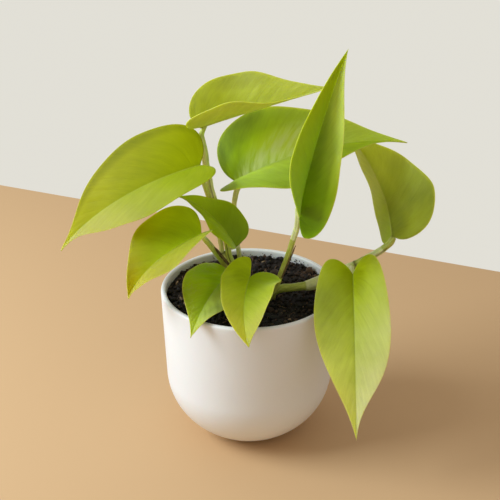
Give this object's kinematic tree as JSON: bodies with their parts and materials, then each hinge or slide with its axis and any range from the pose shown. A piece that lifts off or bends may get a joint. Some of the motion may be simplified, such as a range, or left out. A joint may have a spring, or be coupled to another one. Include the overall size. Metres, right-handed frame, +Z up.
{
  "type": "potted neon pothos",
  "caption": "Small potted pothos: chartreuse heart-shaped leaves on arching stalks, growing from dark soil in a plain white round-bottomed pot.",
  "frame": {"origin": "centre of the pot's flat base", "axes": "+Z up along the pot's axis, -Y towards the viewer in the picture, +X to the viewer's right"},
  "size_m": [0.2291, 0.1368, 0.2558],
  "materials": {
    "ceramic": "satin white glaze",
    "soil": "matte crumbly dark potting soil",
    "stem": "satin yellow-green skin",
    "stalk": "satin pale green skin",
    "dried": "matte dry brown skin",
    "leaf_left": "satin waxy chartreuse leaf",
    "leaf_top": "satin waxy chartreuse leaf",
    "leaf_back": "satin waxy chartreuse leaf",
    "leaf_upright": "satin waxy chartreuse leaf",
    "leaf_rear_right": "satin waxy chartreuse leaf",
    "leaf_hanging": "satin waxy chartreuse leaf",
    "leaf_front": "satin waxy chartreuse leaf",
    "leaf_front_left": "satin waxy chartreuse leaf",
    "leaf_low_left": "satin waxy chartreuse leaf",
    "leaf_inner": "satin waxy chartreuse leaf"
  },
  "bodies": {
    "root": {"pot": "ceramic", "soil": "soil", "stem_left": "stem", "stem_right": "stem", "leaf_left": "leaf_left", "leaf_top": "leaf_top", "leaf_back": "leaf_back", "leaf_upright": "leaf_upright", "leaf_rear_right": "leaf_rear_right", "leaf_hanging": "leaf_hanging", "leaf_front": "leaf_front", "leaf_front_left": "leaf_front_left", "leaf_low_left": "leaf_low_left", "leaf_inner": "leaf_inner", "stalk_left": "stalk", "stalk_top": "stalk", "stalk_back": "stalk", "stalk_upright": "stalk", "stalk_rear_right": "stalk", "stalk_hanging": "stalk", "stalk_front": "stalk", "stalk_front_left": "stalk", "stalk_low_left": "stalk", "stalk_inner": "stalk", "dried_sheath_left": "dried", "dried_sheath_right": "dried"}
  },
  "joints": []
}
